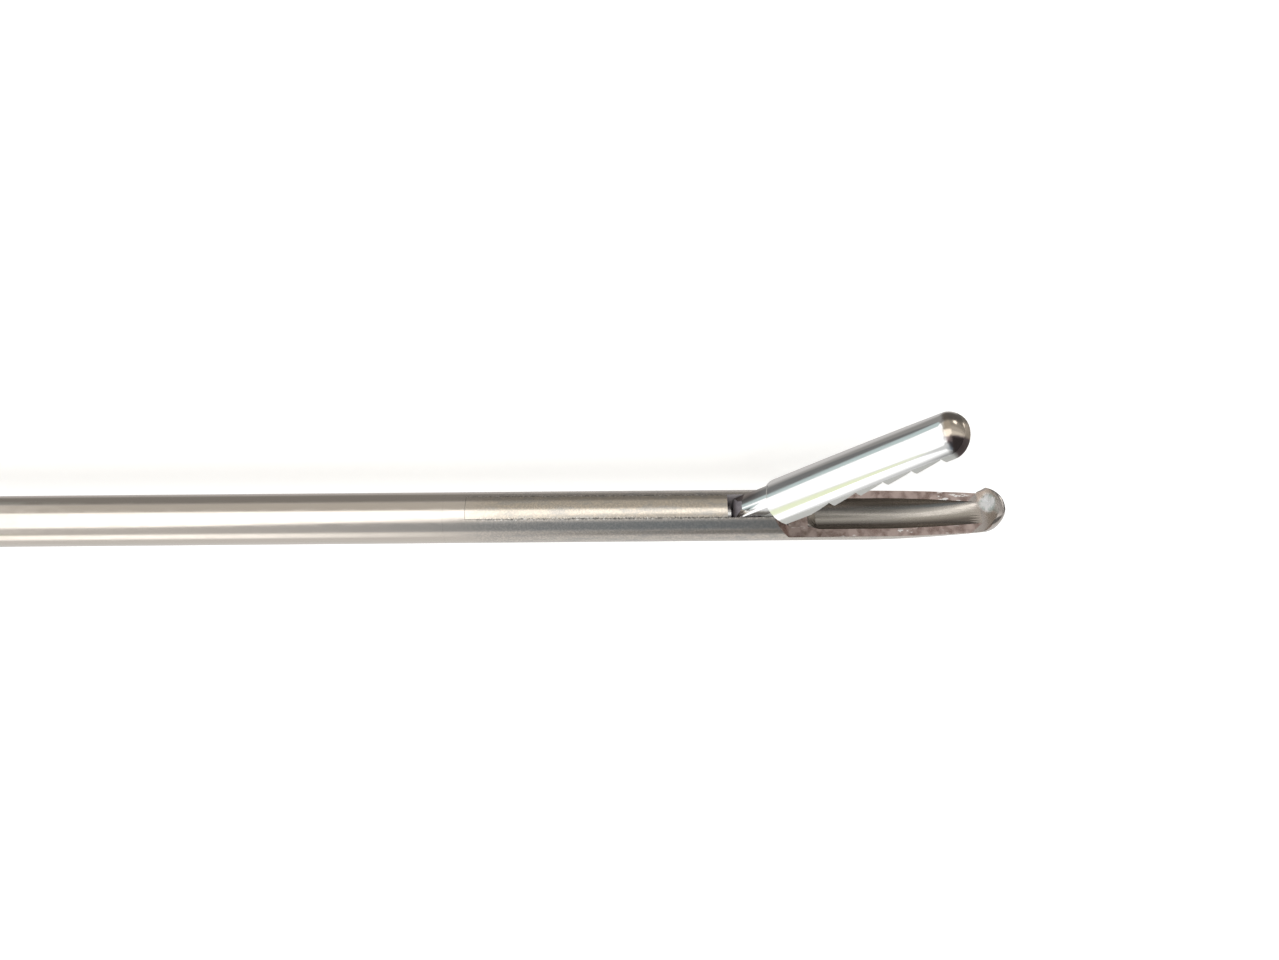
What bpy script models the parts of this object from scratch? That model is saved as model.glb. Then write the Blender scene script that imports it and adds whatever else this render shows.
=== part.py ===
"""Arthroscopic basket punch, lying on its side as it comes to rest on a table.

Metres. +X runs out along the shaft, +Y is the way the upper jaw opens, +Z is up from the table.
The origin is on the underside of the handle's head, below the shaft's axis and the lever's pivot.
Pulling the rod back closes the jaws: the thumb ring swings forward, the lever's top swings back.
"""
import math

import bmesh
import bpy

MM = 0.001

# How far a cutter, or a piece to be joined on, runs past the face that it meets
OVERCUT = 1.0 * MM

# Shaft
SHAFT_DIAMETER = 3.5 * MM
WORKING_LENGTH = 130.0 * MM
SLOT_WIDTH = 1.7 * MM
SLOT_FLOOR_CLEARANCE = 0.12 * MM
SLOT_PAST_FORK_FOOT = 0.05 * MM
COVER_LENGTH = 17.6 * MM
COVER_TO_PIVOT = 1.64 * MM
COVER_ROD_CLEARANCE = 0.15 * MM
BRAZE_GAP = 0.02 * MM

# Brazed joint between the shaft and the lower jaw's piece
JOINT_BEHIND_SLOT = 1.5 * MM
JOINT_FACE_GAP = 0.005 * MM
SPIGOT_DIAMETER = 2.5 * MM
SPIGOT_LENGTH = 1.2 * MM

# Lower jaw, measured from the jaw pivot along the shaft and from the shaft's axis upward
LOWER_JAW_LENGTH = 17.2 * MM
RIM_HEIGHT = 0.15 * MM
FORK_TOP_LENGTH = 1.3 * MM
FORK_FOOT_LENGTH = 2.56 * MM
LAND_LENGTH = 1.35 * MM
BEND_START = 8.0 * MM
TIP_HALF_WIDTH = 1.5 * MM
TIP_RISE = 0.48 * MM
LIP_HEIGHT = 1.6 * MM
ROUND_POWER = 2.0
LIP_POWER = 4.0
LIP_START = 15.4 * MM
LIP_SLOPE_LENGTH = 0.7 * MM
CHANNEL_HALF_WIDTH = 1.15 * MM
CHANNEL_END_HALF_WIDTH = 0.8 * MM
CHANNEL_START_HALF_WIDTH = 0.95 * MM
CHANNEL_DEPTH = 1.1 * MM
CHANNEL_START_DEPTH = 0.08 * MM
CHANNEL_END_DEPTH = 0.02 * MM
CHANNEL_RAMP = 0.75 * MM
CHANNEL_LENGTH = 11.9 * MM
CHANNEL_STRAIGHT_SHARE = 0.4
NOSE_TO_LIP_GAP = 0.14 * MM
NOSE_TIP_TO_LIP_GAP = 0.24 * MM

# Upper jaw, measured from its pivot along the jaw
JAW_OPENING = math.radians(44.6)
JAW_PIVOT_HEIGHT = 0.26 * MM
UPPER_JAW_LENGTH = 16.4 * MM
NOSE_RADIUS = 1.5 * MM
NOSE_LENGTH = 1.2 * MM
JAW_REAR_RADIUS = 1.72 * MM
JAW_BODY_START = 2.3 * MM
JAW_HEEL_START = 2.88 * MM
BITE_GAP = 0.03 * MM
TANG_SIDE_GAP = 0.06 * MM
TANG_BACK_END = 0.5 * MM
TANG_REAR_RADIUS = 1.12 * MM
TANG_HEEL_RADIUS = 1.0 * MM
TANG_OVERLAP = 0.3 * MM
TANG_TOE_LENGTH = 0.9 * MM
TANG_TOE_BEVEL = 0.4 * MM
TANG_TOE_DROP = 0.1 * MM
TANG_FLOOR_CLEARANCE = 0.084 * MM
TANG_HEEL_ANGLE = 200.0
TANG_LOBE_ANGLES = (208.0, 288.0)
GROOVE_ANGLES = (158.0, 318.0)
GROOVE_HUB_GAP = 0.02 * MM
TOOTH_COUNT = 5
TOOTH_PITCH = 1.98 * MM
TOOTH_DEPTH = 0.5 * MM
TOOTH_UNDERCUT = 0.08 * MM
FIRST_TOOTH_TIP = 6.72 * MM
HEEL_TOOTH_FLAT_END = 4.9 * MM
BITE_GROOVE_HALF_WIDTH = 0.8 * MM
BITE_GROOVE_DEPTH = 0.75 * MM
BITE_GROOVE_START = 5.2 * MM
BITE_GROOVE_END = 14.0 * MM

# Pins, rod and what they run in
JAW_PIN_DIAMETER = 0.8 * MM
JAW_PIN_BLIND_DEPTH = 1.4 * MM
PIN_CLEARANCE = 0.02 * MM
HUB_WALL = 0.18 * MM
DRIVE_PIN_DIAMETER = 0.4 * MM
TAB_WALL = 0.14 * MM
TAB_THICKNESS = 0.5 * MM
TAB_SIDE_GAP = 0.08 * MM
TAB_HUB_GAP = 0.06 * MM
ROD_DIAMETER = 1.4 * MM
ROD_CLEARANCE = 0.1 * MM
ROD_TO_TANG_GAP = 0.2 * MM
WEB_LENGTH = 2.8 * MM
WEB_TOP = 0.49 * MM
WEB_BOTTOM = 0.56 * MM
WEB_STEP = 0.3 * MM
WEB_TOE = 0.02 * MM

# Handle's head
HANDLE_THICKNESS = 7.0 * MM
HEAD_REAR = -7.0 * MM
HEAD_FRONT = 14.0 * MM
HEAD_TOP = 6.0 * MM
HEAD_BOTTOM = -10.5 * MM
HEAD_CORNER = 2.5 * MM
EDGE_ROUND = 0.6 * MM
LEVER_SLOT_FRONT = 4.6 * MM
LEVER_ARM = 4.0 * MM
TONGUE_THICKNESS = 2.6 * MM
WASHER_THICKNESS = 0.4 * MM
WASHER_DIAMETER = 6.4 * MM
RUNNING_GAP = 0.04 * MM
SEAT_GAP = 0.03 * MM

# Handle's pivot, barrel, bush, seal, collar and set screw
PIVOT_SCREW_DIAMETER = 3.6 * MM
SCREW_HEAD_DIAMETER = 5.6 * MM
SCREW_HEAD_HEIGHT = 1.1 * MM
SCREW_RECESS_MARGIN = 0.1 * MM
SCREW_SLOT_WIDTH = 0.7 * MM
SCREW_SLOT_DEPTH = 0.5 * MM
SCREW_CHAMFER = 0.2 * MM
BARREL_DIAMETER = 2.6 * MM
LEVER_PRONG = 1.5 * MM
LEVER_PRONG_HEIGHT = 1.7 * MM
LEVER_HUB_RADIUS = 3.3 * MM
LEVER_SEAT_GAP = 0.15 * MM
LEVER_NECK_WIDTH = 5.5 * MM
BUSH_LENGTH = 2.0 * MM
BUSH_CLEARANCE = 0.03 * MM
SEAL_LENGTH = 1.0 * MM
COLLAR_LENGTH = 5.0 * MM
COLLAR_DIAMETER = 6.4 * MM
COLLAR_FRONT_DIAMETER = 4.8 * MM
COLLAR_FLAT = 2.25 * MM
COLLAR_CHAMFER = 0.4 * MM
SET_SCREW_DIAMETER = 2.0 * MM
SET_SCREW_SETBACK = 3.0 * MM
SET_SCREW_CONE = 0.3 * MM
SET_SCREW_SUNK = 0.4 * MM
HEX_SOCKET_WIDTH = 0.9 * MM
HEX_SOCKET_DEPTH = 1.0 * MM

# Shanks and rings, in the plane of the handle
SHANK_WIDTH = 6.6 * MM
SHANK_END_WIDTH = 4.6 * MM
SHANK_CORNER = 1.5 * MM
RING_STOCK = 4.4 * MM
RING_HALF_WIDTH = 12.6 * MM
RING_HALF_HEIGHT = 15.6 * MM
RING_DROP = 73.0 * MM
THUMB_RING_EXTRA_DROP = 3.0 * MM
FINGER_RING_FORWARD = 13.0 * MM
THUMB_RING_BACK = 34.0 * MM
FINGER_SHANK_FORWARD = 7.6 * MM
FINGER_SHANK_DROP = 7.5 * MM
FINGER_BOW_FORWARD = 13.5 * MM
FINGER_BOW_DROP = 32.0 * MM
THUMB_SHANK_BACK = 1.1 * MM
THUMB_SHANK_DROP = 13.6 * MM
THUMB_BOW_BACK = 8.0 * MM
THUMB_BOW_DROP = 38.0 * MM
RING_TILT = math.radians(10.0)

# Segments of the round shapes
SHAFT_SEGMENTS = 40
PIN_SEGMENTS = 20
RING_STEPS = 40

# Worked out from the sizes above
AXIS_Z = HANDLE_THICKNESS / 2
SHAFT_RADIUS = SHAFT_DIAMETER / 2
ROD_RADIUS = ROD_DIAMETER / 2
SLOT_HALF = SLOT_WIDTH / 2
TANG_HALF = SLOT_HALF - TANG_SIDE_GAP
PIVOT_X = HEAD_FRONT + WORKING_LENGTH - LOWER_JAW_LENGTH
PIVOT_HOLE_RADIUS = JAW_PIN_DIAMETER / 2 + PIN_CLEARANCE
HUB_RADIUS = PIVOT_HOLE_RADIUS + HUB_WALL
TAB_HALF_HEIGHT = DRIVE_PIN_DIAMETER / 2 + TAB_WALL
PIN_DROP = HUB_RADIUS + TAB_HUB_GAP + TAB_HALF_HEIGHT
DRIVE_PIN_Y = JAW_PIVOT_HEIGHT - PIN_DROP
SLOT_DEPTH = PIN_DROP - JAW_PIVOT_HEIGHT + TAB_HALF_HEIGHT + SLOT_FLOOR_CLEARANCE
LOBE_RADIUS = SLOT_DEPTH + JAW_PIVOT_HEIGHT - TANG_FLOOR_CLEARANCE
HALF_STROKE = PIN_DROP * math.tan(JAW_OPENING / 2)
LEVER_PIVOT_Y = -LEVER_ARM
LEVER_LEAN = math.atan(HALF_STROKE / LEVER_ARM)
BITE_LEVEL = RIM_HEIGHT - JAW_PIVOT_HEIGHT + BITE_GAP
SLOT_REAR = PIVOT_X - COVER_TO_PIVOT - COVER_LENGTH - BRAZE_GAP
JOINT_X = SLOT_REAR - JOINT_BEHIND_SLOT
ROD_BORE_RADIUS = ROD_RADIUS + ROD_CLEARANCE
NOSE_CENTRE_U = UPPER_JAW_LENGTH - NOSE_LENGTH
TANG_BACK = JAW_REAR_RADIUS - JAW_PIVOT_HEIGHT
TANG_BACK_ANGLE = math.degrees(math.atan2(TANG_BACK, TANG_BACK_END))
TIP_ARC_X = LOWER_JAW_LENGTH - TIP_HALF_WIDTH
LEVER_SLOT_WIDTH = TONGUE_THICKNESS + 2 * (WASHER_THICKNESS + 2 * RUNNING_GAP)
BUSH_REAR = LEVER_SLOT_FRONT + SEAT_GAP
SEAL_REAR = BUSH_REAR + BUSH_LENGTH + SEAT_GAP
SHAFT_REAR = SEAL_REAR + SEAL_LENGTH + SEAT_GAP
SHAFT_BORE_RADIUS = SHAFT_RADIUS + SEAT_GAP
SET_SCREW_X = HEAD_FRONT - SET_SCREW_SETBACK
FINGER_RING_CENTRE = (FINGER_RING_FORWARD, -RING_DROP)
THUMB_RING_CENTRE = (-THUMB_RING_BACK, -RING_DROP - THUMB_RING_EXTRA_DROP)
FINGER_SHANK_START = (FINGER_SHANK_FORWARD, -FINGER_SHANK_DROP)
FINGER_SHANK_BOW = (FINGER_BOW_FORWARD, -FINGER_BOW_DROP)
THUMB_SHANK_START = (-THUMB_SHANK_BACK, -THUMB_SHANK_DROP)
THUMB_SHANK_BOW = (-THUMB_BOW_BACK, -THUMB_BOW_DROP)


def clear_scene():
    for obj in list(bpy.data.objects):
        bpy.data.objects.remove(obj, do_unlink=True)


def material(name, colour, roughness, metallic):
    made = bpy.data.materials.new(name)
    made.use_nodes = True
    shader = made.node_tree.nodes["Principled BSDF"]
    shader.inputs["Base Color"].default_value = (*colour, 1.0)
    shader.inputs["Roughness"].default_value = roughness
    shader.inputs["Metallic"].default_value = metallic
    return made


def solid(name, points, faces):
    """A mesh object from points and faces, with its faces turned outward."""
    mesh = bpy.data.meshes.new(name)
    mesh.from_pydata(points, [], faces)
    sheet = bmesh.new()
    sheet.from_mesh(mesh)
    bmesh.ops.recalc_face_normals(sheet, faces=sheet.faces)
    sheet.to_mesh(mesh)
    sheet.free()
    obj = bpy.data.objects.new(name, mesh)
    bpy.context.collection.objects.link(obj)
    return obj


def loft(name, rings, closed=False):
    """A skin over rings of points; its two ends are capped, or joined where the loft is closed."""
    count = len(rings[0])
    points = [point for ring in rings for point in ring]
    faces = []
    for index in range(len(rings) if closed else len(rings) - 1):
        here = index * count
        there = (index + 1) % len(rings) * count
        for k in range(count):
            after = (k + 1) % count
            faces.append((here + k, here + after, there + after, there + k))
    if not closed:
        faces.append(tuple(range(count)))
        faces.append(tuple(range(len(points) - count, len(points))))
    return solid(name, points, faces)


def prism(name, outline, low, high):
    """An outline in the handle's plane, extruded from height low to height high."""
    return loft(name, [[(x, y, low) for x, y in outline], [(x, y, high) for x, y in outline]])


def circle(radius, segments, phase=0.0):
    turn = 2 * math.pi / segments
    return [(radius * math.cos(k * turn + phase), radius * math.sin(k * turn + phase))
            for k in range(segments)]


def rod_along_x(name, stations, segments=SHAFT_SEGMENTS):
    """A turned piece on the shaft's axis, from (x, radius) stations."""
    return loft(name, [[(x, a, AXIS_Z + b) for a, b in circle(radius, segments)] for x, radius in stations])


def rod_along_z(name, stations, x, y, segments=PIN_SEGMENTS):
    """A turned piece on an axis along Z, from (z, radius) stations."""
    return loft(name, [[(x + a, y + b, z) for a, b in circle(radius, segments)] for z, radius in stations])


def rod_along_y(name, stations, x, segments=PIN_SEGMENTS, phase=0.0):
    """A turned piece on an axis along Y above the shaft's axis, from (y, radius) stations."""
    rings = [[(x + a, y, AXIS_Z + b) for a, b in circle(radius, segments, phase)] for y, radius in stations]
    return loft(name, rings)


def drill_x(rear, front, radius, segments=24):
    """A cutter for a hole on the shaft's axis that is open at both ends."""
    return rod_along_x("hole", [(rear - OVERCUT, radius), (front + OVERCUT, radius)], segments)


def drill_z(low, high, radius, x=0.0, y=LEVER_PIVOT_Y, segments=28):
    """A cutter for a hole along Z, the lever's pivot hole if not told otherwise, open at both ends."""
    return rod_along_z("hole", [(low - OVERCUT, radius), (high + OVERCUT, radius)], x, y, segments)


def bake(obj, modifier):
    """Keeps the modifier's result as the object's own mesh."""
    view = bpy.context.evaluated_depsgraph_get()
    mesh = bpy.data.meshes.new_from_object(obj.evaluated_get(view))
    obj.modifiers.remove(modifier)
    obj.data = mesh


def combine(target, tool, operation):
    boolean = target.modifiers.new(operation.lower(), "BOOLEAN")
    boolean.operation = operation
    boolean.solver = "EXACT"
    boolean.object = tool
    bake(target, boolean)
    bpy.data.objects.remove(tool, do_unlink=True)
    return target


def cut(target, *tools):
    for tool in tools:
        combine(target, tool, "DIFFERENCE")
    return target


def join(target, *tools):
    for tool in tools:
        combine(target, tool, "UNION")
    return target


def soften(obj, width=EDGE_ROUND, segments=2):
    """Rounds the sharp edges of a block."""
    bevel = obj.modifiers.new("edge_round", "BEVEL")
    bevel.width = width
    bevel.segments = segments
    bevel.limit_method = "ANGLE"
    bevel.angle_limit = math.radians(50.0)
    bake(obj, bevel)
    return obj


def rounded(corners, radius, steps=5):
    """An outline with each of its corners replaced by an arc."""
    outline = []
    for index, corner in enumerate(corners):
        before = corners[index - 1]
        after = corners[(index + 1) % len(corners)]
        arms = []
        for end in (before, after):
            length = math.dist(corner, end)
            reach = min(radius, length / 2)
            arms.append([corner[k] + (end[k] - corner[k]) * reach / length for k in (0, 1)])
        for step in range(steps + 1):
            t = step / steps
            outline.append(tuple(
                (1 - t) ** 2 * arms[0][k] + 2 * t * (1 - t) * corner[k] + t * t * arms[1][k] for k in (0, 1)))
    return outline


def turned_about(points, centre, angle):
    """Outline points turned in the handle's plane."""
    cos, sin = math.cos(angle), math.sin(angle)
    moved = []
    for x, y in points:
        dx, dy = x - centre[0], y - centre[1]
        moved.append((centre[0] + dx * cos - dy * sin, centre[1] + dx * sin + dy * cos))
    return moved


def finish(obj, name, look):
    obj.name = name
    obj.data.name = name
    obj.data.materials.clear()
    obj.data.materials.append(look)
    obj.data.shade_smooth()
    obj.data.set_sharp_from_angle(angle=math.radians(32.0))
    return obj


def hang_on(obj, x, y):
    """Puts the object's origin on its joint's axis, at (x, y) and half the handle's height."""
    for vertex in obj.data.vertices:
        vertex.co.x -= x
        vertex.co.y -= y
        vertex.co.z -= AXIS_Z
    obj.location = (x, y, AXIS_Z)
    return obj


def on_slide(obj):
    """Puts a piece of the rod's train on the rod's axis, at the barrel's centre."""
    return hang_on(obj, HALF_STROKE, 0.0)


def tip_bend(x):
    """How far along the lower jaw's bend a station lies: 0 at its start, 1 at the nose's arc."""
    return min(max((x - BEND_START) / (TIP_ARC_X - BEND_START), 0.0), 1.0)


def bar_ring(x, half_width, middle, down, up, roundness):
    """One cross-section of the bar: round below, and squarer above where the lip stands."""
    ring = []
    for a, b in circle(1.0, SHAFT_SEGMENTS):
        power = ROUND_POWER / roundness if b > 0 else 1.0
        across = math.copysign(abs(a) ** power, a) * half_width
        above = math.copysign(abs(b) ** power, b) * (up if b > 0 else down)
        ring.append((x, middle + above, AXIS_Z + across))
    return ring


def make_shaft(look):
    """The bored bar between the handle and the lower jaw's piece, with a spigot on its front end."""
    front = JOINT_X - JOINT_FACE_GAP
    end = front + SPIGOT_LENGTH
    radius = SPIGOT_DIAMETER / 2
    stations = [(SHAFT_REAR, SHAFT_RADIUS), (front, SHAFT_RADIUS), (front, radius), (end, radius)]
    return finish(cut(rod_along_x("bar", stations), drill_x(SHAFT_REAR, end, ROD_BORE_RADIUS)), "shaft", look)


def lower_jaw_bar():
    """The round bar with the lower jaw's bent and rounded end, before anything is cut."""
    rings = [bar_ring(JOINT_X, SHAFT_RADIUS, 0.0, SHAFT_RADIUS, SHAFT_RADIUS, ROUND_POWER)]
    bend_steps = 9
    for step in range(bend_steps + 1):
        x = BEND_START + (TIP_ARC_X - BEND_START) * step / bend_steps
        bend = tip_bend(x)
        half = SHAFT_RADIUS + (TIP_HALF_WIDTH - SHAFT_RADIUS) * bend ** 1.5
        middle = TIP_RISE * bend ** 2
        top = SHAFT_RADIUS + (LIP_HEIGHT - SHAFT_RADIUS) * bend
        roundness = ROUND_POWER + (LIP_POWER - ROUND_POWER) * bend
        rings.append(bar_ring(PIVOT_X + x, half, middle, half, top - middle, roundness))
    nose_steps = 8
    for step in range(1, nose_steps + 1):
        turn = math.radians(85.0) * step / nose_steps
        shrink = math.cos(turn)
        x = TIP_ARC_X + TIP_HALF_WIDTH * math.sin(turn)
        top = (LIP_HEIGHT - TIP_RISE) * shrink ** 0.35
        low = TIP_HALF_WIDTH * shrink
        rings.append(bar_ring(PIVOT_X + x, low, TIP_RISE, low, top, LIP_POWER))
    return loft("lower_jaw", rings)


def jaw_space():
    """What is open above the lower jaw: the fork's slanted end, the rim and the lip's sloping back."""
    ceiling = 3 * SHAFT_RADIUS
    slant = (SHAFT_RADIUS - RIM_HEIGHT) / (FORK_FOOT_LENGTH - FORK_TOP_LENGTH)
    outline = [(FORK_FOOT_LENGTH - (ceiling - RIM_HEIGHT) / slant, ceiling), (FORK_FOOT_LENGTH, RIM_HEIGHT)]
    outline.append((LIP_START, RIM_HEIGHT))
    slope_steps = 6
    for step in range(1, slope_steps + 1):
        turn = math.radians(90.0) * step / slope_steps
        lift = (LIP_HEIGHT - RIM_HEIGHT) * (1 - math.cos(turn))
        outline.append((LIP_START + LIP_SLOPE_LENGTH * math.sin(turn), RIM_HEIGHT + lift))
    outline.append((LIP_START + LIP_SLOPE_LENGTH, ceiling))
    placed = [(PIVOT_X + x, y) for x, y in outline]
    return prism("jaw_space", placed, AXIS_Z - ceiling, AXIS_Z + ceiling)


def channel():
    """The round-bottomed groove between the lower jaw's rims."""
    start = FORK_FOOT_LENGTH + LAND_LENGTH
    rings = []
    steps = 14
    for step in range(steps + 1):
        t = step / steps
        x = start + CHANNEL_RAMP + (CHANNEL_LENGTH - CHANNEL_RAMP) * t
        narrow = max((t - CHANNEL_STRAIGHT_SHARE) / (1 - CHANNEL_STRAIGHT_SHARE), 0.0)
        half = CHANNEL_END_HALF_WIDTH + (CHANNEL_HALF_WIDTH - CHANNEL_END_HALF_WIDTH) * (1 - narrow ** 1.5)
        depth = CHANNEL_END_DEPTH + (CHANNEL_DEPTH - CHANNEL_END_DEPTH) * (1 - narrow ** 2)
        rings.append((x, half, depth))
    rings.insert(0, (start, CHANNEL_START_HALF_WIDTH, CHANNEL_START_DEPTH))
    points = []
    for x, half, depth in rings:
        level = RIM_HEIGHT
        ring = [(PIVOT_X + x, level + SHAFT_RADIUS, AXIS_Z - half), (PIVOT_X + x, level, AXIS_Z - half)]
        floor_steps = 12
        for step in range(1, floor_steps):
            turn = math.pi * step / floor_steps
            ring.append((PIVOT_X + x, level - depth * math.sin(turn), AXIS_Z - half * math.cos(turn)))
        ring.append((PIVOT_X + x, level, AXIS_Z + half))
        ring.append((PIVOT_X + x, level + SHAFT_RADIUS, AXIS_Z + half))
        points.append(ring)
    return loft("channel", points)


def lip_pocket():
    """Room for the upper jaw's ball nose behind the lip."""
    radius = NOSE_RADIUS + NOSE_TO_LIP_GAP
    centre = PIVOT_X + UPPER_JAW_LENGTH + NOSE_TIP_TO_LIP_GAP - radius
    heights = (RIM_HEIGHT, 3 * SHAFT_RADIUS)
    rings = [[(centre + a, y, AXIS_Z + b) for a, b in circle(radius, 48)] for y in heights]
    return loft("lip_pocket", rings)


def make_lower_jaw(look):
    """One piece, brazed onto the shaft: the fork for the upper jaw and the fixed lower jaw."""
    bar = lower_jaw_bar()
    slot_front = PIVOT_X + FORK_FOOT_LENGTH + SLOT_PAST_FORK_FOOT
    top = 2 * SHAFT_RADIUS
    box = [(SLOT_REAR, -SLOT_DEPTH), (slot_front, -SLOT_DEPTH), (slot_front, top), (SLOT_REAR, top)]
    bore = drill_x(JOINT_X, SLOT_REAR, ROD_BORE_RADIUS)
    seat = [(x, SPIGOT_DIAMETER / 2 + BRAZE_GAP) for x in (JOINT_X - OVERCUT, JOINT_X + SPIGOT_LENGTH)]
    pin_stations = [(AXIS_Z - top, PIVOT_HOLE_RADIUS), (AXIS_Z + JAW_PIN_BLIND_DEPTH, PIVOT_HOLE_RADIUS)]
    pin_hole = rod_along_z("pin_hole", pin_stations, PIVOT_X, JAW_PIVOT_HEIGHT)
    cut(bar, jaw_space(), channel(), lip_pocket())
    cut(bar, prism("slot", box, AXIS_Z - SLOT_HALF, AXIS_Z + SLOT_HALF), bore, pin_hole)
    return finish(cut(bar, rod_along_x("spigot_seat", seat)), "lower_jaw", look)


def make_slot_cover(look):
    """The strip brazed into the slot, ground round with the shaft."""
    half = SLOT_HALF - BRAZE_GAP
    floor = ROD_RADIUS + COVER_ROD_CLEARANCE
    reach = math.asin(half / SHAFT_RADIUS)
    arc_steps = 8
    section = [(floor, half), (floor, -half)]
    for step in range(arc_steps + 1):
        turn = -reach + 2 * reach * step / arc_steps
        section.append((SHAFT_RADIUS * math.cos(turn), SHAFT_RADIUS * math.sin(turn)))
    front = PIVOT_X - COVER_TO_PIVOT
    rings = [[(x, y, AXIS_Z + z) for y, z in section] for x in (front - COVER_LENGTH, front)]
    return finish(loft("slot_cover", rings), "slot_cover", look)


def polar(radius, degrees):
    return radius * math.cos(math.radians(degrees)), radius * math.sin(math.radians(degrees))


def arc(radius, first, last, steps):
    return [polar(radius, first + (last - first) * step / steps) for step in range(steps + 1)]


def jaw_tang():
    """The tang, in the closed jaw's own directions, with the pivot at the origin."""
    front = JAW_BODY_START + TANG_OVERLAP
    outline = [(front, 2 * SHAFT_RADIUS), (TANG_BACK_END, 2 * SHAFT_RADIUS), (TANG_BACK_END, TANG_BACK)]
    first = math.hypot(TANG_BACK_END, TANG_BACK)
    rear_steps = 9
    for step in range(1, rear_steps + 1):
        t = step / rear_steps
        radius = TANG_HEEL_RADIUS + (first - TANG_HEEL_RADIUS) * (1 - t) ** 2
        outline.append(polar(radius, TANG_BACK_ANGLE + (TANG_HEEL_ANGLE - TANG_BACK_ANGLE) * t))
    outline += arc(LOBE_RADIUS, *TANG_LOBE_ANGLES, 9)
    toe = JAW_BODY_START - TANG_TOE_LENGTH
    outline += [(toe, BITE_LEVEL - TANG_TOE_DROP), (toe + TANG_TOE_BEVEL, BITE_LEVEL)]
    outline.append((front, BITE_LEVEL))
    tang = prism("tang", outline, -TANG_HALF, TANG_HALF)
    ends = (-2 * JAW_REAR_RADIUS, front + OVERCUT)
    combine(tang, loft("round", [jaw_ring(u, JAW_REAR_RADIUS) for u in ends]), "INTERSECT")
    groove_half = TAB_THICKNESS / 2 + TAB_SIDE_GAP
    groove = arc(HUB_RADIUS + GROOVE_HUB_GAP, *GROOVE_ANGLES, 14)
    groove += arc(2 * LOBE_RADIUS, *reversed(GROOVE_ANGLES), 10)
    reach = DRIVE_PIN_DIAMETER / 2 + PIN_CLEARANCE
    slot_turn = math.radians(-90.0) - JAW_OPENING / 2
    slot = [(PIN_DROP - reach - PIN_CLEARANCE, reach), (2 * LOBE_RADIUS, reach),
            (2 * LOBE_RADIUS, -reach), (PIN_DROP - reach - PIN_CLEARANCE, -reach)]
    slot = turned_about(slot, (0.0, 0.0), slot_turn)
    cut(tang, prism("groove", groove, -groove_half, groove_half),
        prism("drive_slot", slot, -2 * TANG_HALF, 2 * TANG_HALF))
    return tang


def jaw_ring(u, radius):
    """A round section of the upper jaw. Its middle rises from the shaft's axis to the pivot's height."""
    t = min(max((u - JAW_BODY_START) / (NOSE_CENTRE_U - JAW_BODY_START), 0.0), 1.0)
    middle = -JAW_PIVOT_HEIGHT * (1 - math.sin(t * math.pi / 2))
    return [(u, middle + b, a) for a, b in circle(radius, SHAFT_SEGMENTS)]


def jaw_body():
    """The round-backed body and ball nose, flat at the bite."""
    stations = []
    body_steps = 8
    for step in range(body_steps + 1):
        t = step / body_steps
        u = JAW_BODY_START + (NOSE_CENTRE_U - JAW_BODY_START) * t
        stations.append((u, JAW_REAR_RADIUS + (NOSE_RADIUS - JAW_REAR_RADIUS) * t))
    nose_steps = 9
    for step in range(1, nose_steps + 1):
        turn = math.radians(86.0) * step / nose_steps
        stations.append((NOSE_CENTRE_U + NOSE_LENGTH * math.sin(turn), NOSE_RADIUS * math.cos(turn)))
    body = loft("jaw_body", [jaw_ring(u, radius) for u, radius in stations])
    deep = 3 * SHAFT_RADIUS
    rear = [(0.0, BITE_LEVEL - OVERCUT), (JAW_HEEL_START, BITE_LEVEL - OVERCUT), (JAW_HEEL_START, BITE_LEVEL),
            (JAW_BODY_START, SHAFT_RADIUS), (0.0, SHAFT_RADIUS + OVERCUT)]
    below = prism("below_bite", bite_outline(deep), -deep, deep)
    return cut(body, below, prism("rear_slant", rear, -deep, deep))


def bite_outline(deep):
    """The saw profile of the bite, closed far below it."""
    root = BITE_LEVEL + TOOTH_DEPTH
    outline = [(0.0, -deep), (0.0, BITE_LEVEL), (HEEL_TOOTH_FLAT_END, BITE_LEVEL)]
    for tooth in range(TOOTH_COUNT):
        tip = FIRST_TOOTH_TIP + tooth * TOOTH_PITCH
        outline += [(tip - 2.2 * TOOTH_UNDERCUT, root - TOOTH_UNDERCUT), (tip - 1.5 * TOOTH_UNDERCUT, root),
                    (tip - TOOTH_UNDERCUT, root - TOOTH_UNDERCUT), (tip, BITE_LEVEL)]
    outline += [(UPPER_JAW_LENGTH + OVERCUT, BITE_LEVEL), (UPPER_JAW_LENGTH + OVERCUT, -deep)]
    return outline


def bite_groove():
    """The hollow between the upper jaw's two toothed walls."""
    half = BITE_GROOVE_HALF_WIDTH
    section = [(BITE_LEVEL - OVERCUT, -half), (BITE_LEVEL, -half)]
    for step in range(1, 8):
        turn = math.pi * step / 8
        section.append((BITE_LEVEL + BITE_GROOVE_DEPTH * math.sin(turn), -half * math.cos(turn)))
    section += [(BITE_LEVEL, half), (BITE_LEVEL - OVERCUT, half)]
    ends = (BITE_GROOVE_START, BITE_GROOVE_END)
    return loft("bite_groove", [[(u, v, w) for v, w in section] for u in ends])


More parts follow.
